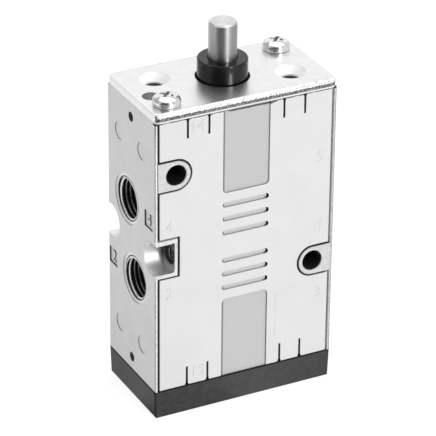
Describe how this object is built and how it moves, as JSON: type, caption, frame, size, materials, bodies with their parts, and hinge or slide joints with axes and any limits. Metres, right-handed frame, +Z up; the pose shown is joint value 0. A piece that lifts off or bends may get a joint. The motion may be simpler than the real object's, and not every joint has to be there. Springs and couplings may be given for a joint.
{
  "type": "directional control valve",
  "caption": "Block-shaped spool valve with threaded air ports, worked by a spring-returned plunger that slides in a bush on the top plate.",
  "frame": {"origin": "middle of the end cap's underside", "axes": "+Z up along the plunger and spool, +X to the right along the front face, +Y from the front cover towards the back"},
  "size_m": [0.0556, 0.03, 0.1108],
  "materials": {
    "cast_body": "satin, die-cast and blasted",
    "cover_panel": "satin silver-grey moulding",
    "plated_sheet": "bright zinc plate",
    "plated_screws": "bright plated",
    "gasket_sheet": "matte",
    "black_bush": "glossy black",
    "turned_steel": "finely turned",
    "turned_aluminium": "ground and hard-coated",
    "seat_brass": "turned",
    "spacer_plastic": "moulded",
    "spring_steel": "drawn wire",
    "seal_rubber": "matte",
    "end_cap_plastic": "fine-grained moulding"
  },
  "bodies": {
    "housing": {"valve_body": "cast_body", "front_cover": "cover_panel", "top_plate": "plated_sheet", "top_plate_screws": "plated_screws", "top_gasket": "gasket_sheet", "guide_bush": "black_bush", "plunger_seal": "seal_rubber", "upper_sleeve": "spacer_plastic", "lower_sleeve": "spacer_plastic", "return_spring": "spring_steel", "end_cap": "end_cap_plastic", "end_cap_seal": "seal_rubber", "end_cap_screws": "plated_screws", "spool_seal_1": "seal_rubber", "spool_seal_2": "seal_rubber", "spool_seal_3": "seal_rubber", "spool_seal_4": "seal_rubber", "spool_seal_5": "seal_rubber", "spool_seal_6": "seal_rubber", "spacer_cage_1": "spacer_plastic", "spacer_cage_2": "spacer_plastic", "spacer_cage_3": "spacer_plastic", "spacer_cage_4": "spacer_plastic", "spacer_cage_5": "spacer_plastic"},
    "plunger": {"plunger": "turned_steel"},
    "spool": {"spool": "turned_aluminium", "spring_seat": "seat_brass"}
  },
  "joints": [
    {"name": "plunger_slide", "type": "slide", "parent": "housing", "child": "plunger", "axis": [0, 0, -1], "range_m": [0, 0.005], "stiffness_N_per_m": 1500, "springref_m": -0.012},
    {"name": "spool_slide", "type": "slide", "parent": "housing", "child": "spool", "axis": [0, 0, -1], "range_m": [0, 0.005], "deforming": ["return_spring"]}
  ],
  "couplings": [
    {"joint": "spool_slide", "follows": "plunger_slide", "ratio": 1}
  ]
}
